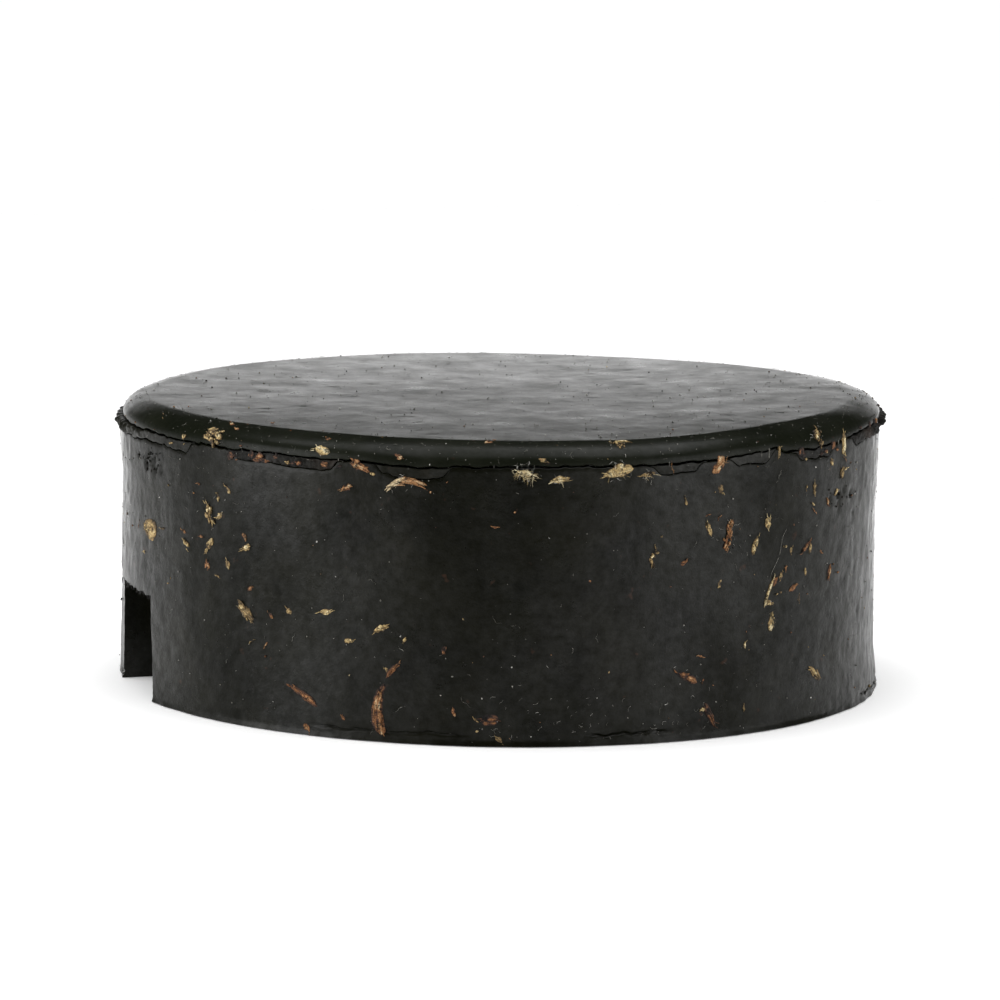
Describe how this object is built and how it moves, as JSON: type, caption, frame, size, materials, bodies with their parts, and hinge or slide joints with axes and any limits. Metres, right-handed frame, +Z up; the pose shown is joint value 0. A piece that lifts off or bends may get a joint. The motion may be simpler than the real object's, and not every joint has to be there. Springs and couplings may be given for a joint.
{
  "type": "slotted rubber pad",
  "caption": "Round black pad pressed from reclaimed rubber, with a rounded shoulder, a flat top, a torn moulding seam and a straight slot across its underside.",
  "frame": {"origin": "centre of the underside, on the pad's axis", "axes": "+Z up along the axis, from the slotted underside to the deck; the slot runs along X; the pad's front is about 18 degrees round from -Y towards -X"},
  "size_m": [0.066, 0.0655, 0.0245],
  "materials": {
    "body_rubber": "matt black reclaimed rubber, warm greyish sheen, dents and pits",
    "cap_rubber": "satin black rubber, fine rubbed streaks on the deck",
    "flash_rubber": "rough torn black rubber",
    "cord_fibre": "matt orange-brown dipped textile cord, frayed",
    "husk_fibre": "matt straw-coloured fibre and husk"
  },
  "bodies": {
    "root": {"base_block": "body_rubber", "top_cap": "cap_rubber", "flash_strip_01": "flash_rubber", "flash_strip_02": "flash_rubber", "flash_strip_03": "flash_rubber", "flash_strip_04": "flash_rubber", "flash_strip_05": "flash_rubber", "flash_strip_06": "flash_rubber", "flash_strip_07": "flash_rubber", "flash_strip_08": "flash_rubber", "flash_strip_09": "flash_rubber", "flash_strip_10": "flash_rubber", "flash_strip_11": "flash_rubber", "cord_long": "cord_fibre", "cord_long_tail": "cord_fibre", "cord_low_left": "cord_fibre", "cord_low_right": "cord_fibre", "cord_foot_right": "cord_fibre", "cord_foot_middle": "cord_fibre", "cord_arch": "cord_fibre", "cord_seam_left": "cord_fibre", "cord_seam_right": "cord_fibre", "cord_left_small": "cord_fibre", "cord_right_small": "cord_fibre", "cord_upright": "cord_fibre", "cord_side_right": "cord_fibre", "cord_slant_right": "cord_fibre", "cord_rear_1": "cord_fibre", "cord_rear_2": "cord_fibre", "cord_rear_3": "cord_fibre", "cord_rear_4": "cord_fibre", "husk_left_edge": "husk_fibre", "husk_left_low": "husk_fibre", "husk_left_high": "husk_fibre", "husk_left_slant": "husk_fibre", "husk_left_spot": "husk_fibre", "husk_left_outer": "husk_fibre", "husk_middle_left": "husk_fibre", "husk_middle_gold": "husk_fibre", "husk_shoulder_left": "husk_fibre", "husk_shoulder_bead": "husk_fibre", "husk_seam_tuft": "husk_fibre", "husk_seam_sliver": "husk_fibre", "husk_seam_lens": "husk_fibre", "husk_seam_trail": "husk_fibre", "husk_shoulder_right": "husk_fibre", "husk_seam_right": "husk_fibre", "husk_centre_right": "husk_fibre", "husk_right_slant": "husk_fibre", "husk_right_spot": "husk_fibre", "husk_right_high": "husk_fibre", "husk_right_edge": "husk_fibre", "husk_upright": "husk_fibre", "husk_straw": "husk_fibre", "husk_straw_tuft": "husk_fibre", "husk_low_right": "husk_fibre", "husk_rear_1": "husk_fibre", "husk_rear_2": "husk_fibre", "husk_rear_3": "husk_fibre", "husk_rear_4": "husk_fibre"}
  },
  "joints": []
}
